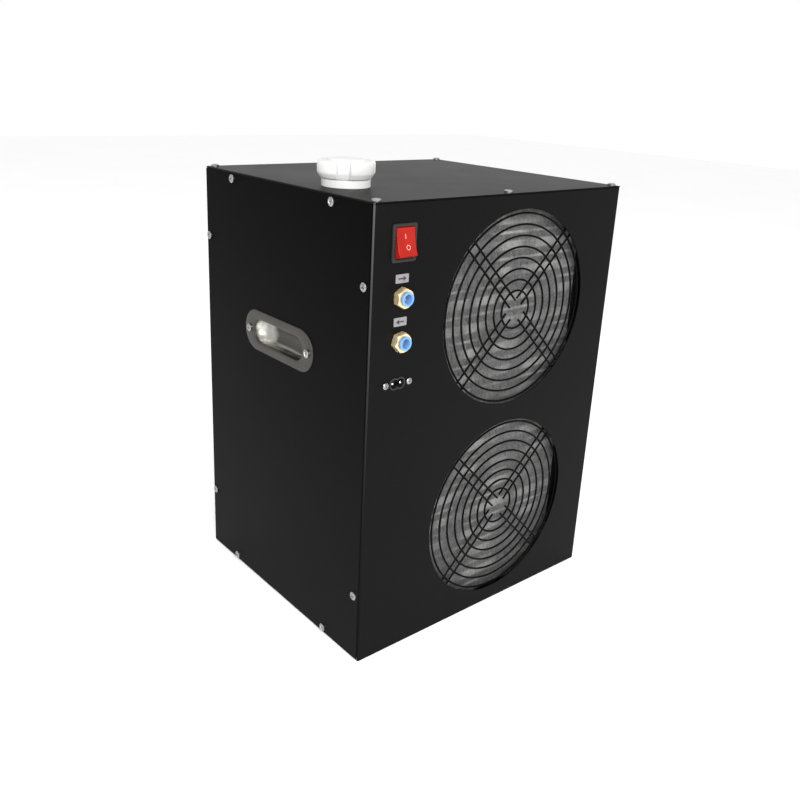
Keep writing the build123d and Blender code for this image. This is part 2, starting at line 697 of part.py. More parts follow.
def tank_stand():
    """Folded steel table under the tank, with its legs on the base pan."""
    x0, x1 = TANK_X[0] - 2, TANK_X[1] + 2
    y0, y1 = TANK_Y[0] + 6, TANK_Y[1] - 6
    top = TANK_Z[0]
    table = block(x0, x1, y0, y1, top - 1.5, top)
    for y in (y0, y1 - 1.5):
        table += block(x0, x1, y, y + 1.5, SHEET, top)
        foot = (y + 1.5, y + 13.5) if y == y0 else (y - 12, y)
        table += block(x0, x1, *foot, SHEET, SHEET + 1.5)
    table -= along_z(Pos(PUMP_X, PUMP_Y) * RegularPolygon(9, 12), top - 3, top + 1)
    window = block(HOSE_X - 9, x1 + 1, y0 - 1, y0 + 3, 40, 70)
    return table - window


def neck_collar():
    """Ring nut on the neck that clamps the lid."""
    ring = Circle(COLLAR_R) - Circle(NECK_R + 0.05)
    return Pos(FILLER_X, FILLER_Y) * along_z(ring, HEIGHT, HEIGHT + COLLAR_HEIGHT)


def filler_cap():
    """Moulded screw cap: a lobed grip ring and a raised disc."""
    outline = Circle(CAP_R)
    for n in range(CAP_NOTCHES):
        turn = n * 360 / CAP_NOTCHES - 132
        half = radians(CAP_NOTCH_DEG / 2)
        inner, far = CAP_R - CAP_NOTCH_DEPTH, CAP_R + 4
        notch = Polygon(
            (inner * cos(half), -inner * sin(half)), (far, -far * sin(half)),
            (far, far * sin(half)), (inner * cos(half), inner * sin(half)), align=None)
        outline -= Rot(0, 0, turn) * notch
    ring_top = CAP_TOP - 1.6
    cap = along_z(outline, CAP_BOTTOM, ring_top)
    cap = chamfer(cap.faces().sort_by(Axis.Z)[-1].edges(), 1.2)
    disc = along_z(Circle(17.0), ring_top - 0.1, CAP_TOP)
    cap += chamfer(disc.edges().group_by(Axis.Z)[-1], 0.8)
    ceiling = NECK_TOP + LINER + 2 * SEAT_GAP
    return Pos(FILLER_X, FILLER_Y) * (cap - along_z(Circle(CAP_BORE_R), CAP_BOTTOM - 1, ceiling))


def cap_liner():
    """Soft sealing disc between the rim of the neck and the cap."""
    start = NECK_TOP + SEAT_GAP
    return Pos(FILLER_X, FILLER_Y) * along_z(Circle(NECK_R + 0.2), start, start + LINER)


def pump_body():
    """Motor can, open chamber and spout of the pump, on a foot."""
    floor, rim = PUMP_CHAMBER_Z
    body = along_z(Circle(PUMP_R - 4), 12, floor - 2) + along_z(Circle(PUMP_R), floor - 2, rim)
    body += block(-18, 18, -18, 18, SHEET, 13)
    spout = Pos(HOSE_X - PUMP_X, SPOUT_Z)
    end = SPOUT_END_Y - PUMP_Y
    body += along_y(spout * Circle(STUB_R), end, -12)
    body -= along_z(Circle(IMPELLER_R + 1), floor, rim + 1)
    body -= along_z(Circle(PUMP_SHAFT_R + RUNNING_GAP), 30, floor + 1)
    body -= along_y(spout * Circle(WATER_BORE_R), end - 1, -10)
    return Pos(PUMP_X, PUMP_Y, 0) * body


def pump_cover():
    """Lid of the pump with its inlet stub."""
    start = PUMP_CHAMBER_Z[1]
    cover = along_z(Circle(PUMP_R), start, start + 3)
    cover += along_z(Circle(STUB_R), start + 3, PUMP_INLET_TOP)
    return Pos(PUMP_X, PUMP_Y, 0) * (cover - along_z(Circle(WATER_BORE_R), start - 1, 83))


def pump_impeller():
    """Six straight vanes on a disc, with the shaft below."""
    floor, rim = PUMP_CHAMBER_Z
    disc_top = floor + 3
    wheel = along_z(RegularPolygon(IMPELLER_R, 24), floor + 1, disc_top)
    vane = Pos(IMPELLER_R / 2 + 2, 0) * Rectangle(IMPELLER_R - 5, 1.6)
    for turn in range(0, 360, 60):
        wheel += along_z(Rot(0, 0, turn) * vane, disc_top, rim - 1.5)
    wheel += along_z(Circle(PUMP_SHAFT_R), 31, disc_top - 1)
    return Pos(PUMP_X, PUMP_Y, 0) * wheel


def compressor():
    """Sealed round shell of two pressed cups on a mounting plate, with two pipe stubs."""
    x, y = COMPRESSOR_AT
    z0, z1 = COMPRESSOR_Z
    seam = (z0 + z1) / 2
    r = COMPRESSOR_R
    outline = Polyline(
        (0, z0), (r * 0.55, z0), (r * 0.86, z0 + 7), (r, z0 + 20), (r, seam - 2),
        (r + 2, seam - 2), (r + 2, seam + 2), (r, seam + 2), (r, z1 - 26),
        (r * 0.82, z1 - 9), (r * 0.5, z1 - 1), (0, z1), close=True)
    shell = revolve(Plane.XZ * make_face(outline), axis=Axis.Z)
    wide, deep = GROMMET_AT
    shell += along_z(Rectangle(2 * wide + 24, 2 * deep + 24), z0, z0 + 2)
    for stub in COMPRESSOR_STUBS:
        shell += along_z(Pos(*stub) * RegularPolygon(4.2, 8), z1 - 12, z1 + STUB_RISE)
    return Pos(x, y, 0) * shell


def compressor_grommets():
    """Rubber feet under the corners of the mounting plate."""
    x, y = COMPRESSOR_AT
    foot = along_z(RegularPolygon(9, 12), SHEET, COMPRESSOR_Z[0])
    return [Pos(x, y, 0) * place * foot
            for place in GridLocations(2 * GROMMET_AT[0], 2 * GROMMET_AT[1], 2, 2)]


def run(points, radius, bend=PIPE_BEND):
    """A plain pipe or hose through the points, rounded at its corners."""
    path = FilletPolyline(*points, radius=bend) if len(points) > 2 else Line(*points)
    section = Plane(origin=points[0], z_dir=path % 0) * RegularPolygon(radius, 8)
    return sweep(section, path=path)


def return_hose():
    """Straight hose from the lower port to the tank."""
    z = PORT_Z["lower"]
    return run([(CONTROL_X, PORT_END, z), (CONTROL_X, TANK_Y[0] - 12, z)], HOSE_R)


def suction_hose():
    """Straight hose from the tank down to the pump."""
    return run([(PUMP_X, PUMP_Y, TANK_Z[0] - 14), (PUMP_X, PUMP_Y, PUMP_INLET_TOP)], HOSE_R)


def supply_hose():
    """Hose from the pump up to the upper port."""
    z = PORT_Z["upper"]
    points = [
        (HOSE_X, SPOUT_END_Y, SPOUT_Z), (HOSE_X, HOSE_Y, SPOUT_Z), (HOSE_X, HOSE_Y, z),
        (CONTROL_X, HOSE_Y, z), (CONTROL_X, PORT_END, z),
    ]
    return run(points, HOSE_R)


def evaporator_end_heights():
    """Where the two ends of the evaporator leave the tank."""
    drop = (EVAPORATOR_ROWS - 1) * TUBE_PITCH
    return EVAPORATOR_TOP_Z, EVAPORATOR_TOP_Z - drop


def evaporator_coil():
    """Copper circuit hung in the water, both ends out through the rear of the tank."""
    coil = serpentine(EVAPORATOR_ROWS, TUBE_PITCH, EVAPORATOR_TOP_Z, COIL_TAIL_Y,
                      EVAPORATOR_Y, EVAPORATOR_TUBE_R)
    return Pos(FILLER_X, 0, 0) * Rot(0, 0, 90) * coil


def compressor_stub(which):
    """X, Y and top of one of the compressor's pipe stubs."""
    dx, dy = COMPRESSOR_STUBS[which]
    return COMPRESSOR_AT[0] + dx, COMPRESSOR_AT[1] + dy, COMPRESSOR_Z[1] + STUB_RISE


def discharge_pipe():
    """Hot gas from the compressor to the top of the condenser."""
    x, y, start = compressor_stub(0)
    return run([
        (x, y, start), (x, y, TUBE_TOP_Z), (PIPE_X, y, TUBE_TOP_Z),
        (PIPE_X, COIL_MIDDLE_Y, TUBE_TOP_Z), (COIL_PIPE_X, COIL_MIDDLE_Y, TUBE_TOP_Z),
    ], PIPE_R)


def liquid_pipe():
    """Liquid from the foot of the condenser to the drier."""
    return run([
        (COIL_PIPE_X, COIL_MIDDLE_Y, COIL_FOOT_Z), (PIPE_X, COIL_MIDDLE_Y, COIL_FOOT_Z),
        (PIPE_X, DRIER_Y[0], COIL_FOOT_Z),
    ], PIPE_R)


def filter_drier():
    """Spun copper drier in the liquid line, necked down at both ends."""
    y0, y1 = DRIER_Y
    profile = Polyline((0, y0), (PIPE_R, y0), (DRIER_R, y0 + 12), (DRIER_R, y1 - 12),
                       (PIPE_R, y1), (0, y1), close=True)
    return Pos(PIPE_X, 0, COIL_FOOT_Z) * revolve(make_face(profile), axis=Axis.Y)


def capillary_pipe():
    """Narrow line from the drier to the lower end of the evaporator."""
    end = evaporator_end_heights()[1]
    return run([
        (PIPE_X, DRIER_Y[1], COIL_FOOT_Z), (PIPE_X, PIPE_Y, COIL_FOOT_Z),
        (FILLER_X, PIPE_Y, COIL_FOOT_Z), (FILLER_X, PIPE_Y, end), (FILLER_X, COIL_TAIL_Y, end),
    ], CAPILLARY_R)


def suction_pipe():
    """Cold gas from the upper end of the evaporator back to the compressor."""
    x, y, end = compressor_stub(1)
    start = evaporator_end_heights()[0]
    return run([
        (FILLER_X, COIL_TAIL_Y, start), (FILLER_X, PIPE_Y, start), (x, PIPE_Y, start),
        (x, y, start), (x, y, end),
    ], PIPE_R)


def power_supply():
    """Cased low-voltage supply for the pump and fans, with its terminal block in front."""
    x0, x1 = SUPPLY_X
    y0, y1 = SUPPLY_Y
    case = block(x0, x1, y0, y1, SHEET, SUPPLY_TOP)
    case = chamfer(case.edges().group_by(Axis.Z)[-1], 1.5)
    return case + block(x0 + 4, x1 - 4, y0 - 6, y0, SHEET, SUPPLY_TOP / 2)


def side_pair(make):
    """The same group on both sides of the box."""
    left = make()
    return left + [mirrored(shape) for shape in left]


cover = side_cover()
pull = flush_handle()
left_screws = cover_screws()
NODES = {
    "front_panel": front_panel(),
    "rear_panel": rear_panel(),
    "top_panel": top_panel(),
    "base_pan": base_pan(),
    "side_cover_left": cover,
    "side_cover_right": mirrored(cover),
    "cover_screws_left": left_screws,
    "cover_screws_right": [mirrored(screw) for screw in left_screws],
    "top_screws": top_screws(),
    "flush_handle_left": pull,
    "flush_handle_right": mirrored(pull),
    "handle_screws": side_pair(handle_screws),
    "handle_nuts": side_pair(handle_nuts),
    "guard_studs": guard_studs(),
    "guard_nuts": guard_nuts(),
    "condenser_coil": condenser_coil(),
    "condenser_fins": condenser_fins(),
    "coil_end_plate_left": coil_end_plate(-1),
    "coil_end_plate_right": coil_end_plate(1),
    "fan_plate": fan_plate(),
    "fan_bearings": fan_bearings(),
    "power_inlet": power_inlet(),
    "inlet_pins": inlet_pins(),
    "inlet_screws": inlet_screws(),
    "inlet_nuts": inlet_nuts(),
    "switch_housing": switch_housing(),
    "switch_rocker": switch_rocker(),
    "port_nuts": port_nuts(),
    "port_labels": port_labels(),
    "water_tank": water_tank(),
    "tank_lid": tank_lid(),
    "tank_stand": tank_stand(),
    "neck_collar": neck_collar(),
    "filler_cap": filler_cap(),
    "cap_liner": cap_liner(),
    "pump_body": pump_body(),
    "pump_cover": pump_cover(),
    "pump_impeller": pump_impeller(),
    "compressor": compressor(),
    "compressor_grommets": compressor_grommets(),
    "evaporator_coil": evaporator_coil(),
    "return_hose": return_hose(),
    "suction_hose": suction_hose(),
    "supply_hose": supply_hose(),
    "discharge_pipe": discharge_pipe(),
    "liquid_pipe": liquid_pipe(),
    "filter_drier": filter_drier(),
    "capillary_pipe": capillary_pipe(),
    "suction_pipe": suction_pipe(),
    "power_supply": power_supply(),
}
for level, fan_z in FAN_Z.items():
    NODES[f"fan_guard_{level}"] = fan_guard(fan_z)
    NODES[f"fan_frame_{level}"] = fan_frame(fan_z)
    NODES[f"fan_rotor_{level}"] = fan_rotor(fan_z)
for level in PORT_Z:
    NODES[f"port_body_{level}"] = port_body(level)
    NODES[f"release_collet_{level}"] = release_collet(level)

os.makedirs("parts", exist_ok=True)
for node, shape in NODES.items():
    solid = Compound(shape) if isinstance(shape, list) else shape
    export_step(solid, f"parts/{node}.step")
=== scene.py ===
"""Looks of a bench-top recirculating chiller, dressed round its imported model, in metres.

A black powder-coated box stands on a pale floor. Two welded wire guards cover the openings
in front of a finned condenser; a column of controls stands at the left of the front.
"""

import bmesh
import bpy
import numpy as np
from mathutils import Euler, Matrix


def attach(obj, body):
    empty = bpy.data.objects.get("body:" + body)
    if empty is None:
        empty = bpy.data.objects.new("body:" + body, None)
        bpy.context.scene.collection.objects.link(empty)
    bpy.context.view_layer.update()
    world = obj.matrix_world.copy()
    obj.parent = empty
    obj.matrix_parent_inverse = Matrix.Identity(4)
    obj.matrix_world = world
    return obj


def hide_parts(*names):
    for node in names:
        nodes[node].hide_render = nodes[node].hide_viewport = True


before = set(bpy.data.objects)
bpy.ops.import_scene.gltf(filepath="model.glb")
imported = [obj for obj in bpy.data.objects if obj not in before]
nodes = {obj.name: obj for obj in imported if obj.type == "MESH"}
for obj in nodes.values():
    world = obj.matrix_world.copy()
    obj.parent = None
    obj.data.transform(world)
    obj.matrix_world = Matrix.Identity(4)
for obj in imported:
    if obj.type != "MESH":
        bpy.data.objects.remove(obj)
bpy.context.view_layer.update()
MM = 0.001


# Camera. The photograph was taken a little above the box and to the left of its front,
# with a short lens, so the upright edges run together slightly towards the floor.

CAMERA_AT = np.array([-573.2, -655.2, 521.9]) * MM
CAMERA_TILT, CAMERA_ROLL, CAMERA_HEADING = np.radians([71.228, -2.592, -39.701])
FOCAL_PIXELS = 842.4
CENTRE_PIXELS = (395.0, 365.4)
PHOTO_PIXELS = 800

camera_data = bpy.data.cameras.new("photo_camera")
camera_data.sensor_width = 36.0
camera_data.lens = FOCAL_PIXELS / PHOTO_PIXELS * camera_data.sensor_width
camera_data.shift_x = (PHOTO_PIXELS / 2 - CENTRE_PIXELS[0]) / PHOTO_PIXELS
camera_data.shift_y = (CENTRE_PIXELS[1] - PHOTO_PIXELS / 2) / PHOTO_PIXELS
camera_data.clip_start = 0.02
camera = bpy.data.objects.new("photo_camera", camera_data)
bpy.context.scene.collection.objects.link(camera)
turn = Euler((CAMERA_TILT, CAMERA_ROLL, CAMERA_HEADING)).to_matrix().to_4x4()
camera.matrix_world = Matrix.Translation(CAMERA_AT.tolist()) @ turn
bpy.context.scene.camera = camera


# Floor and light. A plain white floor in a white studio, with a soft light overhead, one at
# the left and one beside the camera that reaches into the fan openings.

class Socket:
    """An output of a shader node. Python's operators on it add Math nodes to its tree."""

    def __init__(self, tree, output=None):
        self.tree, self.output = tree, output

    def node(self, kind, settings=None, inputs=None, output=0):
        """Add a node of one kind, set it up, then feed its sockets with values or links."""
        made = self.tree.nodes.new(kind)
        for name, value in (settings or {}).items():
            setattr(made, name, value)
        for name, value in (inputs or {}).items():
            if isinstance(value, Socket):
                self.tree.links.new(value.output, made.inputs[name])
            else:
                made.inputs[name].default_value = value
        return Socket(self.tree, made.outputs[output] if made.outputs else None)

    def maths(self, operation, *values):
        """One Math node on this socket's tree."""
        return self.node("ShaderNodeMath", {"operation": operation}, dict(enumerate(values)))

    def __add__(self, other):
        return self.maths("ADD", self, other)

    def __sub__(self, other):
        return self.maths("SUBTRACT", self, other)

    def __rsub__(self, other):
        return self.maths("SUBTRACT", other, self)

    def __mul__(self, other):
        return self.maths("MULTIPLY", self, other)

    def __truediv__(self, other):
        return self.maths("DIVIDE", self, other)

    def __pow__(self, other):
        return self.maths("POWER", self, other)

    def __lt__(self, other):
        return self.maths("LESS_THAN", self, other)

    def __gt__(self, other):
        return self.maths("GREATER_THAN", self, other)

    def __abs__(self):
        return self.maths("ABSOLUTE", self)

    __radd__, __rmul__ = __add__, __mul__

    def larger(self, other):
        """The larger of this socket and another."""
        return self.maths("MAXIMUM", self, other)

    def rise(self, low, high):
        """0 below low, 1 above high, and a straight climb between."""
        return self.node("ShaderNodeMapRange", {}, {
            "Value": self, "From Min": low, "From Max": high})

    def place(self):
        """Object coordinates, as a vector."""
        return self.node("ShaderNodeTexCoord", output="Object")

    def axes(self):
        """Object coordinates as three sockets x, y and z in metres."""
        vector = self.place()
        return [self.node("ShaderNodeSeparateXYZ", {}, {0: vector}, output=n) for n in range(3)]

    def noise(self, scale, detail=2.0, roughness=0.5, stretch=(1, 1, 1)):
        """Noise about 0.5 whose grains are 1/scale metres, drawn out along an axis by stretch."""
        spread = self.node("ShaderNodeMapping", {}, {"Vector": self.place(), "Scale": stretch})
        return self.node("ShaderNodeTexNoise", {}, {
            "Vector": spread, "Scale": scale, "Detail": detail, "Roughness": roughness})

    def tone(self, colour_a, colour_b):
        """A colour that goes from colour_a to colour_b as this socket goes from 0 to 1."""
        return self.node("ShaderNodeMix", {"data_type": "RGBA"}, {
            0: self, 6: colour_a if isinstance(colour_a, Socket) else (*colour_a, 1.0),
            7: colour_b if isinstance(colour_b, Socket) else (*colour_b, 1.0)}, output=2)

    def bump(self, strength, distance):
        """A normal that reads this socket as a height of up to distance metres."""
        return self.node("ShaderNodeBump", {}, {
            "Height": self, "Strength": strength, "Distance": distance})


def material(name, recipe):
    """A Principled material fed with the constants and sockets that recipe returns."""
    made = bpy.data.materials.new(name)
    made.use_nodes = True
    made.node_tree.nodes.clear()
    start = Socket(made.node_tree)
    shader = start.node("ShaderNodeBsdfPrincipled", {}, recipe(start))
    start.node("ShaderNodeOutputMaterial", {}, {"Surface": shader})
    return made


def dress(finish, *names):
    """Give CAD nodes one finish."""
    for name in names:
        nodes[name].data.materials.clear()
        nodes[name].data.materials.append(finish)


def lamp(name, size, at, towards, watts):
    """A square area light of one side length, aimed at a point."""
    data = bpy.data.lights.new(name, "AREA")
    data.size, data.energy = size, watts
    made = bpy.data.objects.new(name, data)
    bpy.context.scene.collection.objects.link(made)
    aim = np.array(towards, float) - np.array(at, float)
    aim /= np.linalg.norm(aim)
    side = np.cross(aim, (0.0, 0.0, 1.0) if abs(aim[2]) < 0.99 else (0.0, 1.0, 0.0))
    side /= np.linalg.norm(side)
    facing = Matrix((side.tolist(), np.cross(side, aim).tolist(), (-aim).tolist()))
    made.matrix_world = Matrix.Translation(at) @ facing.transposed().to_4x4()


FLOOR_HALF = 6.0
floor_mesh = bpy.data.meshes.new("floor")
floor_mesh.from_pydata(
    [(-FLOOR_HALF, -FLOOR_HALF, 0), (FLOOR_HALF, -FLOOR_HALF, 0),
     (FLOOR_HALF, FLOOR_HALF, 0), (-FLOOR_HALF, FLOOR_HALF, 0)], [], [(0, 1, 2, 3)])
floor = bpy.data.objects.new("floor", floor_mesh)
bpy.context.scene.collection.objects.link(floor)
floor_mesh.materials.append(material("pale_floor", lambda s: {
    "Base Color": s.noise(3.0).tone((0.94, 0.94, 0.94), (0.97, 0.97, 0.97)),
    "Roughness": 0.9}))

world = bpy.data.worlds.new("studio")
world.use_nodes = True
white_wall = world.node_tree.nodes["Background"].inputs
white_wall["Color"].default_value = (1.0, 1.0, 1.0, 1.0)
white_wall["Strength"].default_value = 1.0
bpy.context.scene.world = world
bpy.context.scene.view_settings.view_transform = "Standard"
lamp("overhead", 1.6, (0.1, 0.2, 1.9), (0, 0, 0.2), 4)
lamp("from_left", 1.4, (-1.9, -0.6, 1.1), (0, 0, 0.25), 9)
lamp("beside_camera", 0.9, (-0.75, -1.5, 1.0), (0, 0, 0.22), 34)


# Box: front, rear, lid, base pan and side covers. Folded sheet steel 1.2 mm thick with a
# satin black powder coat, whose fine orange peel spreads the highlights.

BOX_HEIGHT = 430 * MM
BEND_X, BEND_Y = 157.6 * MM, -136.3 * MM
# Pale grey for specks of dust and for the painted highlight on the front's bends.
DUST_AND_HIGHLIGHT_GREY = (0.13, 0.13, 0.13)


def powder_coat(head, foot, gloss):
    """A recipe for near-black coat with orange peel and a drift of gloss. Its tone goes from
    head at the lid to foot at the floor, which on the side covers is a painted reflection of
    the floor, and the front's two bends get a painted highlight that fades towards the floor."""
    def recipe(start):
        x, y, z = start.axes()
        patch = start.noise(9.0, 3.0, 0.6)
        dust = start.noise(420.0, 2.0, 0.7).rise(0.62, 0.8)
        # On the side covers the tone grows lighter towards the floor: a painted reflection of the
        # floor.
        coat = (z / BOX_HEIGHT).tone(foot, head)
        # Painted highlight along the front's two bends, strongest at the lid and fading to the
        # floor.
        bend_highlight = (abs(x) > BEND_X) * (y < BEND_Y) * (z / BOX_HEIGHT) ** 3
        dust_and_bend_highlight = dust * 0.02 + patch * 0.01 + bend_highlight * 0.45
        return {
            "Base Color": dust_and_bend_highlight.tone(coat, DUST_AND_HIGHLIGHT_GREY),
            "Roughness": 0.34 + patch * 0.14,
            "Normal": start.noise(1400.0, 2.0, 0.55).bump(0.35, 0.00006),
            "Specular IOR Level": gloss,
        }
    return recipe


# One coat in three copies toned face by face: the side covers' copy is darker near the lid and
# less glossy, and the lid's copy is darker than the front's. These differences are painted shade,
# not different coats.
panel_coat = material("satin_black_powder_coat", powder_coat((0.003,) * 3, (0.003,) * 3, 0.045))
side_shade_coat = material("satin_black_coat_side_shade", powder_coat((0.0003,) * 3, (0.006,) * 3, 0.018))
lid_shade_coat = material("satin_black_coat_lid_shade", powder_coat((0.0015,) * 3, (0.0015,) * 3, 0.045))
dress(panel_coat, "front_panel", "rear_panel", "base_pan")
dress(lid_shade_coat, "top_panel")
dress(side_shade_coat, "side_cover_left", "side_cover_right")


# Condenser coil. Copper tube 9.5 mm across, bent to and fro in sixteen passes; the return
# bends stand out of the end plates, which are folded from sheet and made black as painted shade.

COIL_X = np.array([-83.0, 121.0]) * MM
COIL_MIDDLE_Y = -102.5 * MM
TUBE_PITCH, TUBE_ROWS, TUBE_TOP_Z = 25 * MM, 16, 403 * MM
TUBE_R = 4.75 * MM


def circle(radius, count):
    """The (a, b) pairs of a circle, the last equal to the first."""
    angle = np.linspace(0, 2 * np.pi, count + 1)
    return radius * np.stack([np.cos(angle), np.sin(angle)], 1)


def carried(profile, path, side, up, closed=False):
    """A closed profile carried along a path: each point is the path's point plus a times side
    plus b times up. An open path gets its end profiles drawn to their middle."""
    side, up = np.broadcast_to(side, path.shape), np.broadcast_to(up, path.shape)
    grid = (path[:, None] + profile[None, :, :1] * side[:, None]
            + profile[None, :, 1:] * up[:, None])
    if closed:
        return grid
    ends = np.repeat(path[[0, -1], None], len(profile), axis=1)
    return np.concatenate([ends[:1], grid, ends[1:]])


def wire(path, radius, normal, sides=10, closed=False):
    """A round wire along a path that lies in the plane square to normal: the circle's side
    vector is the path's direction crossed with the normal."""
    if closed:
        ahead = np.roll(path[:-1], -1, 0) - np.roll(path[:-1], 1, 0)
        ahead = np.concatenate([ahead, ahead[:1]])
    else:
        ahead = np.gradient(path, axis=0)
    side = np.cross(ahead, normal)
    side /= np.linalg.norm(side, axis=1, keepdims=True)
    return carried(circle(radius, sides), path, side, normal, closed)


def piece(name, finish, body, stands_for, grids, smooth=35.0):
    """One mesh of all grids: neighbouring points of a grid share a face, doubles are merged,
    normals point outwards and edges sharper than smooth degrees stay sharp."""
    points, faces, count = [], [], 0
    for grid in grids:
        index = np.arange(grid.shape[0] * grid.shape[1]).reshape(grid.shape[:2]) + count
        corners = [index[:-1, :-1], index[1:, :-1], index[1:, 1:], index[:-1, 1:]]
        faces.append(np.stack(corners, -1).reshape(-1, 4))
        points.append(grid.reshape(-1, 3))
        count += index.size
    mesh = bpy.data.meshes.new(name)
    mesh.from_pydata(np.concatenate(points).tolist(), [], np.concatenate(faces).tolist())
    shell = bmesh.new()
    shell.from_mesh(mesh)
    bmesh.ops.remove_doubles(shell, verts=shell.verts, dist=1e-6)
    bmesh.ops.recalc_face_normals(shell, faces=shell.faces)
    shell.to_mesh(mesh)
    shell.free()
    mesh.shade_smooth()
    mesh.set_sharp_from_angle(angle=np.radians(smooth))
    mesh.materials.append(finish)
    made = bpy.data.objects.new(name, mesh)
    bpy.context.scene.collection.objects.link(made)
    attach(made, body)
    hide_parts(*stands_for)


def arc(centre, radius, start, end, count):
    """Points of an arc in the XZ plane, its angles in degrees from +X towards +Z."""
    angle = np.radians(np.linspace(start, end, count))
    x = centre[0] + radius * np.cos(angle)
    z = centre[2] + radius * np.sin(angle)
    return np.stack([x, np.full(count, centre[1]), z], 1)


def serpentine():
    """Straight passes joined by half circles, first to the left, then to the right."""
    x0, x1 = COIL_X[0] - 3 * MM, COIL_X[1] + 3 * MM
    rows = [np.array([[x1 + 5 * MM, COIL_MIDDLE_Y, TUBE_TOP_Z]])]
    for row in range(TUBE_ROWS - 1):
        x, turn = (x0, (90, 270)) if row % 2 == 0 else (x1, (90, -90))
        middle = TUBE_TOP_Z - (row + 0.5) * TUBE_PITCH
        rows.append(arc((x, COIL_MIDDLE_Y, middle), TUBE_PITCH / 2, *turn, 13))
    rows.append(rows[0] - [0, 0, (TUBE_ROWS - 1) * TUBE_PITCH])
    return np.concatenate(rows)


def copper(start):
    """Drawn tube: warm metal, dulled in patches, with faint draw lines."""
    patch = start.noise(70.0, 4.0, 0.6)
    return {
        "Base Color": patch.rise(0.35, 0.7).tone((0.72, 0.4, 0.26), (0.42, 0.22, 0.13)),
        "Metallic": 1.0,
        "Roughness": 0.24 + patch * 0.22,
        "Normal": start.noise(900.0, 2.0).bump(0.2, 0.00003),
    }


drawn_copper = material("drawn_copper", copper)
Y_AXIS = np.array([0.0, 1.0, 0.0])
coil = wire(serpentine(), TUBE_R, Y_AXIS, 14)
piece("coil_tube", drawn_copper, "chassis", ["condenser_coil"], [coil])
dress(drawn_copper, "evaporator_coil", "discharge_pipe", "liquid_pipe", "capillary_pipe",
      "suction_pipe", "filter_drier")


# Condenser fins. Aluminium leaf 0.2 mm thick, about a hundred of them side by side, each
# rippled a little and bent here and there by handling, so that bands of them shine.

FIN_COUNT = 99
FIN_FRONT, FIN_BACK = -121.5 * MM, -85.5 * MM
FIN_Z = np.array([4.0, 415.5]) * MM
FIN_HALF = 0.1 * MM


def fin_leaves(count, steps):
    """Upright leaves: the side shift of a point is a sine of its height, whose phase and
    depth drift slowly from leaf to leaf, and it fades to nothing from front to back."""
    x = np.linspace(COIL_X[0] + 2 * MM, COIL_X[1] - 1 * MM, count)
    z = np.linspace(*FIN_Z, steps)
    leaf = np.arange(count)[:, None]
    swing = 0.30 + 0.22 * np.sin(leaf * 0.13 + 1.0) * np.sin(z * 21.0 + leaf * 0.05)
    ripple = swing * np.sin(2 * np.pi * z / TUBE_PITCH + 0.9 * np.sin(leaf * 0.11))
    kink = 0.25 * np.sin(leaf * 2.1 + z * 190.0) * np.sin(leaf * 0.7 + z * 33.0) ** 4
    shift = (ripple + kink) * MM
    grids = []
    for n in range(count):
        depth = [(FIN_FRONT, 1.0), (FIN_FRONT + 5 * MM, 0.35), (FIN_BACK, 0.0)]
        loop = [(y, -FIN_HALF, f) for y, f in depth] + [(y, FIN_HALF, f) for y, f in depth[::-1]]
        loop = np.array(loop + loop[:1])
        across = x[n] + loop[None, :, 1] + shift[n][:, None] * loop[None, :, 2]
        along = np.broadcast_to(loop[:, 0], across.shape)
        up = np.broadcast_to(z[:, None], across.shape)
        grid = np.stack([across, along, up], -1)
        middle = np.broadcast_to(grid.mean(1, keepdims=True), grid.shape)
        grids.append(np.concatenate([middle[:1], grid, middle[-1:]]))
    return grids


def fin_metal(start):
    """Bright leaf with upright streaks and a dusty front, and painted glints in bands at the tube
    heights and, in patches, midway from one tube to the next.
    """
    _, _, z = start.axes()
    streak = start.noise(330.0, 3.0, 0.7, (4.0, 0.2, 0.3))
    speck = start.noise(620.0, 3.0, 0.7)
    cycle = (z - (TUBE_TOP_Z - TUBE_PITCH * TUBE_ROWS)) / TUBE_PITCH
    wave = start.maths("COSINE", cycle * (2 * np.pi))
    patch = start.noise(26.0, 2.0).rise(0.42, 0.62)
    # Painted glints: lighter bands at the tube heights, and patchy ones midway from one tube to
    # the next.
    tube_glint = wave.rise(0.25, 0.6) * (0.12 + patch * 0.88)
    between = (0 - wave).rise(0.9, 0.99) * patch
    tone = (streak * 0.55 + speck * 0.65 + tube_glint * 0.36 + between * 0.4).rise(0.43, 1.13)
    return {
        "Base Color": tone.tone((0.17, 0.17, 0.172), (0.9, 0.9, 0.89)),
        "Metallic": 0.6,
        "Roughness": 0.45 - tube_glint * 0.12,
    }


leaf_metal = material("bare_aluminium_leaf", fin_metal)
piece("fin_pack", leaf_metal, "chassis", ["condenser_fins"], fin_leaves(FIN_COUNT, 134))


# Sheet parts inside. The fan plate, tank stand and power supply's case are folded from
# zinc-coated steel. The compressor's shell is painted black, and the condenser's end plates are
# made black as painted shade.

def plain(colour, roughness, metallic=0.0, grain=600.0, depth=0.00003, spread=0.2, **more):
    """A recipe for a fine-grained surface that varies about one colour."""
    def recipe(start):
        grains = start.noise(grain, 2.0)
        drift = start.noise(30.0, 3.0)
        dark = tuple(c * (1 - spread) for c in colour)
        return {
            "Base Color": (grains * 0.4 + drift * 0.6).tone(dark, colour),
            "Roughness": roughness + drift * 0.1,
            "Metallic": metallic,
            "Normal": grains.bump(0.4, depth),
            **more,
        }
    return recipe


black_paint_and_shade = material("black_paint_and_shade", plain((0.01, 0.01, 0.01), 0.5))
# Black for the compressor's shell; on the condenser's end plates it is painted shade for the gap
# beside the coil.
dress(black_paint_and_shade, "coil_end_plate_left", "coil_end_plate_right", "compressor")
zinc_sheet = material("zinc_coated_sheet", plain((0.5, 0.51, 0.52), 0.4, 0.9, spread=0.35))
dress(zinc_sheet, "fan_plate", "tank_stand", "power_supply")


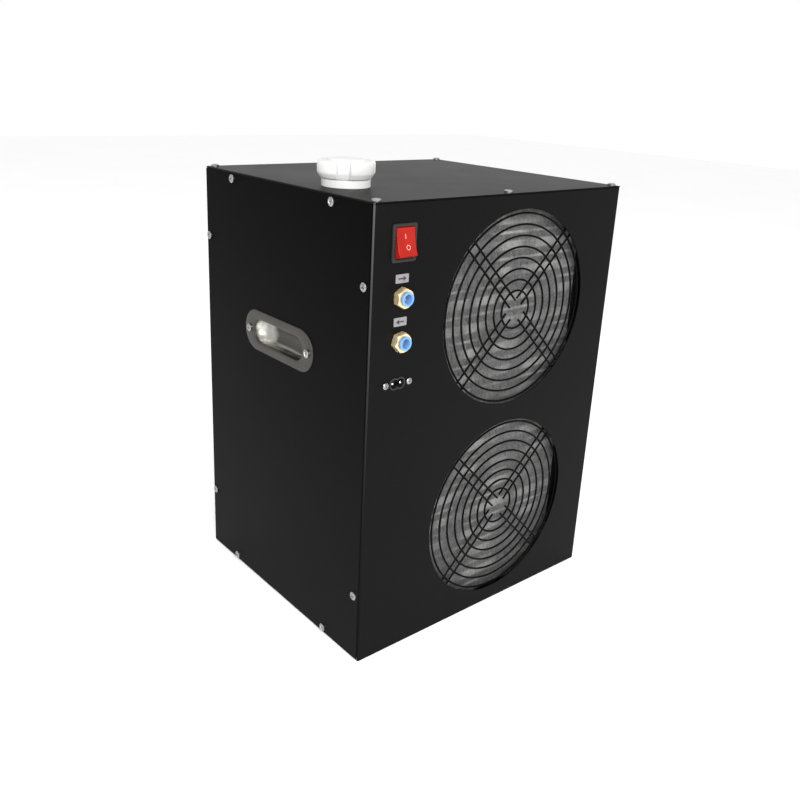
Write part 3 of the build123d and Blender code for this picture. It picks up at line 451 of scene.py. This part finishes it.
# Fans. Two axial fans behind the condenser: black moulded frames screwed to their plate, and
# rotors with the motor in the hub, each on a steel ring bearing.

black_moulding = material("black_moulding", plain((0.02, 0.02, 0.02), 0.5))
dress(black_moulding, "fan_frame_upper", "fan_frame_lower", "fan_rotor_upper",
      "fan_rotor_lower", "pump_body", "pump_cover", "pump_impeller", "cap_liner",
      "compressor_grommets")
ground_steel = material("ground_steel", plain((0.7, 0.7, 0.7), 0.15, 1.0))
dress(ground_steel, "fan_bearings")


# Fan guards. Steel wire welded and dipped black: eight rings between two pairs of hairpins,
# one pair in front and one behind, whose eyes sit under flange nuts on studs on the panel.

GUARD_AT = {"upper": (21.8 * MM, 318.3 * MM), "lower": (22.8 * MM, 108.0 * MM)}
WIRE_R = 1.03 * MM
RING_R = [(18.6 + 10.5 * n) * MM for n in range(8)]
GUARD_FRONT = -136.2 * MM
FRONT_TURNS, REAR_TURNS = (135, 315), (45, 225)
ARM_HALF_GAP = 4.8 * MM
ARM_INNER_R, EYE_R = 9.5 * MM, 104 * MM


def hairpin(x, y, z, degrees):
    """Two parallel legs joined by a half circle round the eye, turned about the guard's axis."""
    eye = arc((EYE_R, y, 0), ARM_HALF_GAP, 90, -90, 17)
    inner = np.array([[ARM_INNER_R, y, ARM_HALF_GAP], [ARM_INNER_R, y, -ARM_HALF_GAP]])
    flat = np.concatenate([inner[:1], eye, inner[1:]])
    c, s = np.cos(np.radians(degrees)), np.sin(np.radians(degrees))
    across, up = c * flat[:, 0] - s * flat[:, 2], s * flat[:, 0] + c * flat[:, 2]
    return np.stack([x + across, flat[:, 1], z + up], 1)


def guard_wire(start):
    """Dipped black wire, a little glossy, thin at the welds."""
    lumps = start.noise(500.0, 2.0)
    return {
        "Base Color": lumps.tone((0.0008, 0.0008, 0.0008), (0.003, 0.003, 0.003)),
        "Roughness": 0.45 + lumps * 0.15,
        "Normal": lumps.bump(0.3, 0.0001),
        "Specular IOR Level": 0.06,
    }


dipped_wire = material("black_dipped_wire", guard_wire)
for which, (x, z) in GUARD_AT.items():
    at = (x, GUARD_FRONT + 3 * WIRE_R, z)
    wires = [wire(arc(at, r, 0, 360, 97), WIRE_R, Y_AXIS, 10, closed=True) for r in RING_R]
    for layer, turns in ((1, FRONT_TURNS), (5, REAR_TURNS)):
        y = GUARD_FRONT + layer * WIRE_R
        wires += [wire(hairpin(x, y, z, turn), WIRE_R, Y_AXIS, 10) for turn in turns]
    piece(f"wire_guard_{which}", dipped_wire, "chassis", [f"fan_guard_{which}"], wires)


# Screws and nuts. Zinc-plated steel: domed heads with a cross recess hold the covers, lid,
# pulls and inlet, and flange nuts hold the guards' studs and the screws from behind.

HEAD_R, HEAD_HEIGHT = 4 * MM, 2.4 * MM
FRONT_Y, SIDE_X = -137.5 * MM, 160 * MM


def pan_head(at, out, radius=HEAD_R, height=HEAD_HEIGHT, turn=0.0):
    """A domed head: height falls with the fourth power of the radius, and a cross is sunk
    where the smaller of the two sideways distances is within the blade of the driver."""
    out = np.array(out, float)
    side = np.cross(out, (0.0, 0.0, 1.0)) if abs(out[2]) < 0.5 else np.array([1.0, 0.0, 0.0])
    other = np.cross(out, side)
    share = np.array([0, .05, .1, .15, .2, .27, .34, .41, .48, .53, .6, .72, .84, .93, 1.0])
    angle = np.linspace(0, 2 * np.pi, 57)[None]
    a, b = share[:, None] * np.cos(angle), share[:, None] * np.sin(angle)
    small, large = np.minimum(abs(a), abs(b)), np.maximum(abs(a), abs(b))
    cross = np.clip((0.15 - small) / 0.06, 0, 1) * np.clip((0.56 - large) / 0.08, 0, 1)
    rise = height * (1 - 0.38 * share[:, None] ** 4 - 0.5 * cross * (1 - 0.5 * large))
    skirt = [(0.99, 0.35), (0.99, 0.0), (0.0, 0.0)]
    a = np.concatenate([a] + [r * np.cos(angle) for r, _ in skirt])
    b = np.concatenate([b] + [r * np.sin(angle) for r, _ in skirt])
    rise = np.concatenate([rise] + [np.full(angle.shape, height * h) for _, h in skirt])
    c, s = np.cos(turn), np.sin(turn)
    a, b = (c * a - s * b) * radius, (s * a + c * b) * radius
    return (np.array(at) + a[..., None] * side + b[..., None] * other + rise[..., None] * out)


def zinc_plate(start):
    """Bright plated steel with faint turning marks and dull spots."""
    spot = start.noise(800.0, 2.0)
    return {
        "Base Color": spot.tone((0.13, 0.13, 0.13), (0.5, 0.5, 0.5)),
        "Metallic": 1.0,
        "Roughness": 0.2 + spot * 0.12,
    }


bright_zinc = material("bright_zinc", zinc_plate)
COVER_Y, COVER_Z = 82.5 * MM, (7 * MM, 423.5 * MM)
EDGE_Y, EDGE_Z = 130 * MM, (69 * MM, 361 * MM)
LID_X, LID_Y = (-152 * MM, 0, 152 * MM), 131.5 * MM
PULL_SCREW_Y, PULL_Z, RIM_FACE = 50.25 * MM, 282 * MM, 1 * MM
CONTROL_X, INLET_Z, INLET_SCREW_X = -126.6 * MM, 273.4 * MM, 13.2 * MM
for label, side in (("left", -1), ("right", 1)):
    places = [(y, z) for y in (-EDGE_Y, EDGE_Y) for z in EDGE_Z]
    places += [(y, z) for y in (-COVER_Y, COVER_Y) for z in COVER_Z]
    heads = [pan_head((side * SIDE_X, y, z), (side, 0, 0), turn=n * 1.3)
             for n, (y, z) in enumerate(places)]
    piece(f"cover_heads_{label}", bright_zinc, "chassis", [f"cover_screws_{label}"], heads)
lid_places = [(x, y, BOX_HEIGHT) for x in LID_X for y in (-LID_Y, LID_Y)]
piece("lid_heads", bright_zinc, "chassis", ["top_screws"],
      [pan_head(p, (0, 0, 1), turn=n * 0.9) for n, p in enumerate(lid_places)])
pull_places = [(side * (SIDE_X + RIM_FACE), y, PULL_Z)
               for side in (-1, 1) for y in (-PULL_SCREW_Y, PULL_SCREW_Y)]
piece("pull_heads", bright_zinc, "chassis", ["handle_screws"],
      [pan_head(p, (np.sign(p[0]), 0, 0), turn=0.4 + n) for n, p in enumerate(pull_places)])
inlet_places = [(CONTROL_X + side * INLET_SCREW_X, FRONT_Y, INLET_Z) for side in (-1, 1)]
piece("inlet_heads", bright_zinc, "chassis", ["inlet_screws"],
      [pan_head(p, (0, -1, 0), 3 * MM, 2 * MM, 0.5 + n) for n, p in enumerate(inlet_places)])
dress(bright_zinc, "handle_nuts", "guard_studs", "guard_nuts", "inlet_nuts")


# Flush pulls. Pressed stainless steel, one in each side cover: a flat rim with rolled edges
# round a deep pocket, held by two screws with nuts behind the cover.

RIM = (118 * MM, 41 * MM)
POCKET = (84 * MM, 23 * MM)
FLOOR_LENGTH = 61.2 * MM
NO_WIDTH = 1e-9


def slot_loop(length, width, count=24):
    """A stadium: two half circles of the width's half, their centres set apart by the rest."""
    angle = np.linspace(-np.pi / 2, np.pi / 2, count)
    reach, r = (length - width) / 2, width / 2
    right = np.stack([reach + r * np.cos(angle), r * np.sin(angle)], 1)
    return np.concatenate([right, -right, right[:1]])


def pressed_pull(side):
    """Stadium loops, one for each step of the section: floor, wall, lip, rim, rolled edge,
    then back under the rim and down the outside of the pocket."""
    section = [(0, 0, -11), (1, -12.2, -11), (1, -10, -10.9), (1, -6, -10.3), (1, -2.6, -8.6),
               (1, -0.7, -5.6), (1, 0, -2.4), (1, 0, -0.6), (1, 0.3, 0.4), (1, 1.0, 0.9),
               (1, 1.8, 1.0), (2, -1.6, 1.0), (2, -0.5, 0.9), (2, -0.1, 0.55), (2, 0, 0.0),
               (1, 2, 0.0), (1, 2, -8.8), (1, -2.4, -12), (1, -12.2, -12), (0, 0, -12)]
    loops = []
    for base, grow, height in section:
        length, width = [(FLOOR_LENGTH, 0.0), POCKET, RIM][base]
        add = 2 * grow * MM
        loop = slot_loop(max(length + add, FLOOR_LENGTH), max(width + add, NO_WIDTH))
        x = np.full(len(loop), side * (SIDE_X + height * MM))
        loops.append(np.stack([x, loop[:, 0], PULL_Z + loop[:, 1]], 1))
    return np.stack(loops)


def stainless(start):
    """Satin steel brushed along the pull. Its rim and front half are painted dark as a shaded
    reflection, and the pocket's rear end and lower wall are painted pale as a reflection."""
    x, y, z = start.axes()
    brushed = start.noise(500.0, 3.0, 0.6, (1.0, 0.06, 1.0))
    cloud = start.noise(40.0, 3.0)
    sunk = (SIDE_X - abs(x)).rise(0.0005, 0.003)
    # Painted reflection at the pocket's rear end, and below that on its lower wall.
    rear_reflection = (y + cloud * 0.02).rise(0.026, 0.036)
    wall = (PULL_Z - z).rise(0.0075, 0.0095) * (brushed * 1.6).rise(0.6, 0.9)
    painted_reflection = (sunk * rear_reflection.larger(wall * 0.7)).rise(0.0, 1.0)
    # A dark tone for the rim and front half, a painted shaded reflection; the pale grey below is
    # the painted reflection.
    dark = cloud.tone((0.05, 0.047, 0.04), (0.09, 0.085, 0.075))
    return {
        "Base Color": painted_reflection.tone(dark, (0.47, 0.46, 0.43)),
        "Metallic": 1.0,
        "Roughness": 0.26 + brushed * 0.18,
        "Normal": brushed.bump(0.15, 0.00002),
    }


satin_stainless = material("satin_stainless", stainless)
for label, side in (("left", -1), ("right", 1)):
    piece(f"pull_{label}", satin_stainless, "chassis", [f"flush_handle_{label}"],
          [pressed_pull(side)])


# Switch. Snap-in rocker switch: a black bezel with softened edges, and a tinted red rocker
# on two pins, marked with a stroke above and a ring below.

SWITCH_AT = np.array([CONTROL_X, FRONT_Y, 396 * MM])
PIVOT_Y = -137.1 * MM
ROCKER_R, ROCKER_HALF, ROCKER_REST = 12.95 * MM, 9.4 * MM, 13.0
ROCKER_FACE = -138.5 * MM
STROKE_AT, STROKE_HALF = (-0.8 * MM, 5.6 * MM), (0.3 * MM, 2 * MM)
RING_AT, RING_MARK_R, RING_HALF = (1.2 * MM, -3.4 * MM), 1.8 * MM, 0.26 * MM


def round_box(half_x, half_z, corner, count=7):
    """A rectangle with quarter circles for corners, closed."""
    turns = np.linspace(0, np.pi / 2, count)
    quarter = corner * np.stack([np.cos(turns), np.sin(turns)], 1)
    corners = []
    for n, (sx, sz) in enumerate([(1, 1), (-1, 1), (-1, -1), (1, -1)]):
        c, s = np.cos(n * np.pi / 2), np.sin(n * np.pi / 2)
        turned = np.stack([c * quarter[:, 0] - s * quarter[:, 1],
                           s * quarter[:, 0] + c * quarter[:, 1]], 1)
        corners.append(turned + [sx * (half_x - corner), sz * (half_z - corner)])
    loop = np.concatenate(corners)
    return np.concatenate([loop, loop[:1]])


def stacked(centre, steps):
    """Loops in the XZ plane set at their own depths behind or before a centre: each step is
    (loop, y in millimetres), and the loops share one count of points."""
    rows = [np.stack([centre[0] + loop[:, 0], np.full(len(loop), centre[1] + y * MM),
                      centre[2] + loop[:, 1]], 1) for loop, y in steps]
    return np.stack(rows)


bezel_steps = []
for half_x, half_z, corner, y in (
        (12.75, 16.0, 1.5, 0.0), (12.75, 16.0, 1.5, -1.2), (12.55, 15.8, 1.4, -1.6),
        (12.15, 15.4, 1.2, -1.8), (10.3, 13.7, 0.8, -1.8), (9.95, 13.4, 0.6, -1.6),
        (9.7, 13.3, 0.4, -1.0), (9.7, 13.3, 0.4, 12.0), (10.9, 14.1, 0.5, 12.0),
        (10.9, 14.1, 0.5, 0.0), (12.75, 16.0, 1.5, 0.0)):
    bezel_steps.append((round_box(half_x * MM, half_z * MM, corner * MM), y))


def bezel_moulding(start):
    """Black nylon, faintly blue, with a fine spark-eroded grain."""
    grain = start.noise(1600.0, 2.0)
    return {
        "Base Color": grain.tone((0.01, 0.01, 0.01), (0.021, 0.021, 0.021)),
        "Roughness": 0.42 + grain * 0.1,
        "Specular IOR Level": 0.2,
        "Normal": grain.bump(0.3, 0.00004),
    }


bezel_plastic = material("bezel_moulding", bezel_moulding)
back_steps = [(round_box(h * 10.9 * MM, h * 14.1 * MM, h * 0.5 * MM), y)
              for h, y in ((1e-6, 12.0), (1.0, 12.0), (1.0, 26.0), (1e-6, 26.0))]
piece("switch_bezel", bezel_plastic, "chassis", ["switch_housing"],
      [stacked(SWITCH_AT, bezel_steps), stacked(SWITCH_AT, back_steps)])


def rocker_section(count=28):
    """Half disc about the pins, its front hollowed by a shallow arc, its corners rounded."""
    edge = np.radians(64.5)
    dish = np.linspace(edge, -edge, count)
    face = -5.4 * MM + 1.0 * MM * (1 - (dish / edge) ** 2)
    front = np.stack([face, ROCKER_R * 0.9 * np.sin(dish) / np.sin(edge)], 1)
    round_back = np.linspace(-edge - 0.05, -2 * np.pi + edge + 0.05, 40)
    back = ROCKER_R * np.stack([-np.cos(round_back), np.sin(round_back)], 1)
    back[:, 0] = np.minimum(back[:, 0], 5.5 * MM)
    loop = np.concatenate([front, back])
    return np.concatenate([loop, loop[:1]])


def rocker_shape(tilt):
    """The section carried along X, drawn in a little at both ends."""
    c, s = np.cos(np.radians(tilt)), np.sin(np.radians(tilt))
    section = rocker_section()
    rows = []
    for x, scale in ((-1, 1e-6), (-1, 0.955), (-0.985, 0.985), (-0.95, 1.0), (0.95, 1.0),
                     (0.985, 0.985), (1, 0.955), (1, 1e-6)):
        y, z = section[:, 0] * scale, section[:, 1] * scale
        rows.append(np.stack([np.full(len(y), SWITCH_AT[0] + x * ROCKER_HALF),
                              PIVOT_Y + c * y + s * z, SWITCH_AT[2] - s * y + c * z], 1))
    return np.stack(rows)


def red_tint(start):
    """Tinted red plastic, deeper in its body, with a pale stroke and a pale ring."""
    x, y, z = start.axes()
    across, up = x - SWITCH_AT[0], z - SWITCH_AT[2]
    stroke = ((abs(across - STROKE_AT[0]) < STROKE_HALF[0])
              * (abs(up - STROKE_AT[1]) < STROKE_HALF[1]))
    aside, below = across - RING_AT[0], up - RING_AT[1]
    ring_r = (aside * aside + below * below) ** 0.5
    ring = abs(ring_r - RING_MARK_R) < RING_HALF
    mark = stroke.larger(ring) * (y < ROCKER_FACE)
    body = start.noise(60.0, 2.0).tone((0.17, 0.004, 0.002), (0.36, 0.01, 0.004))
    return {
        "Base Color": mark.tone(body, (0.6, 0.33, 0.3)),
        "Roughness": 0.25 + start.noise(700.0) * 0.1,
        "Specular IOR Level": 0.18,
        "Coat Weight": 0.04,
    }


tinted_red = material("tinted_red", red_tint)
piece("rocker_button", tinted_red, "rocker", ["switch_rocker"], [rocker_shape(ROCKER_REST)])


# Water ports. Push-in fittings for 8 mm tube: a turned brass hexagon with its corners
# chamfered, and a moulded blue release ring in its mouth.

PORT_Z = {"upper": 350.0 * MM, "lower": 311.5 * MM}
PORT_TURN = {"upper": 30.0, "lower": 12.0}


def revolved(centre, steps, radius_at=None, count=48):
    """Circles about the Y axis through centre, one for each (radius, y) step in millimetres;
    radius_at(angle, radius, y) may change the radius round the circle."""
    angle = np.linspace(0, 2 * np.pi, count + 1)
    rows = []
    for radius, y in steps:
        r = np.full(angle.shape, float(radius))
        if radius_at is not None:
            r = radius_at(angle, r, y)
        rows.append(np.stack([centre[0] + r * MM * np.cos(angle),
                              np.full(angle.shape, centre[1] + y * MM),
                              centre[2] + r * MM * np.sin(angle)], 1))
    return np.stack(rows)


def brass(start):
    """Turned brass, warm, with fine rings and darker stains."""
    stain = start.noise(160.0, 3.0)
    return {
        "Base Color": stain.rise(0.3, 0.75).tone((0.98, 0.8, 0.48), (0.68, 0.5, 0.26)),
        "Metallic": 0.75,
        "Roughness": 0.32 + stain * 0.16,
        "Normal": start.noise(1500.0, 2.0).bump(0.15, 0.00002),
    }


def blue_ring(start):
    """Moulded blue, light where it is thin."""
    drift = start.noise(200.0, 2.0)
    return {
        "Base Color": drift.tone((0.085, 0.23, 0.52), (0.15, 0.32, 0.6)),
        "Roughness": 0.3 + drift * 0.1,
        "Subsurface Weight": 0.15,
        "Subsurface Radius": (0.001, 0.002, 0.004),
    }


turned_brass = material("turned_brass", brass)
moulded_blue = material("moulded_blue", blue_ring)
for which, height in PORT_Z.items():
    at = np.array([CONTROL_X, FRONT_Y, height])

    def hexagon(angle, radius, y, turn=np.radians(PORT_TURN[which])):
        """Distance to the side of the hexagon, cut by the cone of its chamfer."""
        within = (angle - turn) % (np.pi / 3) - np.pi / 6
        flat = 8.0 / np.cos(within)
        return np.minimum(np.minimum(flat, radius), 8.2 + (y + 6.8) * 0.74)

    body_steps = [(5.3, -0.5), (5.3, -6.5), (5.6, -6.8), (8.0, -6.8), (8.2, -6.75)]
    body_steps += [(20.0, y) for y in (-6.4, -6.0, -5.6, -5.2, -4.8, -0.4)]
    body_steps += [(8.0, -0.02), (6.5, 0.0), (6.5, 18), (5, 18), (5, 29.5), (3, 29.5),
                   (3, 13.5), (4.1, 13.5), (4.1, -0.5), (5.3, -0.5)]
    piece(f"port_hexagon_{which}", turned_brass, "chassis", [f"port_body_{which}"],
          [revolved(at, body_steps, hexagon, 72)], 25.0)
    ring_steps = [(4.2, -2.0), (4.2, -9.2), (4.35, -9.6), (4.7, -9.75), (5.6, -9.8),
                  (6.0, -9.6), (6.15, -9.2), (6.15, -8.3), (6.0, -8.12), (5.2, -8.1),
                  (5.2, -2.0), (4.2, -2.0)]
    piece(f"release_ring_{which}", moulded_blue, f"collet_{which}",
          [f"release_collet_{which}"], [revolved(at, ring_steps)])
dress(turned_brass, "port_nuts")


# Port plates. Pale printed film stuck to the front over each port; a plain arrow on each
# shows which way the water goes.

UPPER_PLATE_Z, LOWER_PLATE_Z = 366 * MM, 328.8 * MM
ARROW_HALF, SHAFT_HALF, HEAD_START, HEAD_TIP = 4.2 * MM, 0.6 * MM, 1.2 * MM, 4.4 * MM


def film(start):
    """Pale film with a dark arrow: out of the box on the upper plate, in on the lower."""
    x, _, z = start.axes()
    upper = z > (UPPER_PLATE_Z + LOWER_PLATE_Z) / 2
    height = z - upper * UPPER_PLATE_Z - (1 - upper) * LOWER_PLATE_Z
    along = (x - CONTROL_X) * (upper * 2 - 1)
    shaft = (abs(height) < SHAFT_HALF) * (abs(along) < ARROW_HALF)
    head = (along > HEAD_START) * (abs(height) < (HEAD_TIP - along) * 0.75)
    mark = shaft.larger(head)
    film_tone = start.noise(500.0).tone((0.15, 0.14, 0.15), (0.22, 0.205, 0.22))
    return {
        "Base Color": mark.tone(film_tone, (0.012, 0.01, 0.012)),
        "Roughness": 0.38 + start.noise(300.0) * 0.1,
    }


dress(material("printed_film", film), "port_labels")


# Mains inlet. A figure-of-eight black moulding with a thin proud rim, held by two screws, and
# two plated round pins in its recess.

INLET_AT = np.array([CONTROL_X, FRONT_Y, INLET_Z])
LOBE_X, PIN_X = 3.3, 4.3 * MM


def lobes(radius, count=72):
    """The outline of two overlapping circles, as a distance from the middle: c cos t plus the
    root of R squared less the square of c sin t, with c the lobes' distance from the middle."""
    angle = np.linspace(0, 2 * np.pi, count + 1)
    r = LOBE_X * abs(np.cos(angle)) + np.sqrt(radius ** 2 - (LOBE_X * np.sin(angle)) ** 2)
    return r[:, None] * np.stack([np.cos(angle), np.sin(angle)], 1) * MM


def inlet_moulding(start):
    """Black moulding whose rim has caught a little wear."""
    grain = start.noise(1200.0, 2.0)
    return {
        "Base Color": grain.tone((0.005, 0.005, 0.005), (0.016, 0.016, 0.016)),
        "Roughness": 0.32 + grain * 0.15,
        "Specular IOR Level": 0.3,
        "Coat Weight": 0.05,
    }


inlet_plastic = material("inlet_moulding", inlet_moulding)
front_steps = [(lobes(r), y) for r, y in (
    (5.7, 1.2), (5.7, -0.5), (5.5, -0.8), (4.6, -0.8), (4.2, -0.6), (4.1, 0.0), (4.1, 7.2),
    (3.31, 7.2), (3.31, 17.2), (5.2, 17.2), (5.2, 1.2), (5.7, 1.2))]
floor_steps = [(lobes(5.0) * h, y)
               for h, y in ((1e-6, 7.2), (0.95, 7.2), (0.95, 17.2), (1e-6, 17.2))]
piece("inlet_front", inlet_plastic, "chassis", ["power_inlet"],
      [stacked(INLET_AT, front_steps), stacked(INLET_AT, floor_steps)])
pin_steps = [(0.0, 0.4), (0.7, 0.4), (1.05, 0.65), (1.2, 1.2), (1.2, 24.0), (0.0, 24.0)]
pins = [revolved(INLET_AT + [side * PIN_X, 0, 0], pin_steps, count=24) for side in (-1, 1)]
piece("inlet_pin_pair", ground_steel, "chassis", ["inlet_pins"], pins)


# Filler cap. Moulded white, screwed on the tank's neck: a grip ring with four notches under
# a raised disc, and a ring nut below it that clamps the lid.

FILLER = np.array([-118.0, -45.0]) * MM
NOTCH_TURN, NOTCH_HALF, NOTCH_EDGE = np.radians([132.0, 15.5, 4.0])


def cap_ring(angle, radius, depth):
    """The radius less a notch about four places: the notch is a smooth step each side."""
    turn = (angle + NOTCH_TURN + np.pi / 4) % (np.pi / 2) - np.pi / 4
    notch = np.clip((NOTCH_HALF - abs(turn)) / NOTCH_EDGE, 0, 1)
    notch = notch * notch * (3 - 2 * notch)
    return radius - depth * notch


def upright(centre, steps, count=120):
    """Circles about an upright axis for each (radius, z, notch depth) in millimetres."""
    angle = np.linspace(0, 2 * np.pi, count + 1)
    rows = []
    for radius, z, depth in steps:
        r = cap_ring(angle, radius, depth) * MM
        rows.append(np.stack([centre[0] + r * np.cos(angle), centre[1] + r * np.sin(angle),
                              np.full(angle.shape, z * MM)], 1))
    return np.stack(rows)


def white_plastic(start):
    """White moulding, faintly warm, with soft dirt in its corners."""
    drift = start.noise(60.0, 3.0)
    return {
        "Base Color": drift.tone((0.5, 0.5, 0.49), (0.6, 0.6, 0.59)),
        "Roughness": 0.28 + drift * 0.1,
        "Specular IOR Level": 0.3,
    }


moulded_white = material("moulded_white", white_plastic)
cap_steps = [
    (0.0, 451.15, 0), (19.7, 451.15, 0), (19.7, 438.0, 0), (20.0, 437.6, 0),
    (22.6, 437.6, 1.6), (23.4, 437.9, 2.2), (25.9, 441.6, 3.4), (26.4, 442.6, 3.6),
    (26.4, 450.8, 3.6), (26.1, 451.8, 3.5), (25.4, 452.4, 3.2), (24.4, 452.6, 2.6),
    (17.6, 452.6, 0), (17.1, 452.9, 0), (16.8, 453.7, 0), (16.2, 454.1, 0),
    (15.2, 454.2, 0), (0.0, 454.2, 0)]
piece("cap_moulding", moulded_white, "cap", ["filler_cap"], [upright(FILLER, cap_steps)])
collar_steps = [(19.1, 430, 0), (21.6, 430, 0), (22.0, 430.4, 0), (22.0, 436.5, 0),
                (21.6, 437, 0), (19.1, 437, 0), (19.1, 430, 0)]
piece("neck_ring", moulded_white, "chassis", ["neck_collar"], [upright(FILLER, collar_steps)])


# Tank and hoses. A white moulded tank stands behind the fans under its lid, and milky hoses
# pushed on stubs lead from it to the pump and to the two ports.

dress(moulded_white, "water_tank", "tank_lid")
clear_hose = material("milky_hose", plain((0.75, 0.76, 0.76), 0.3))
dress(clear_hose, "return_hose", "suction_hose", "supply_hose")
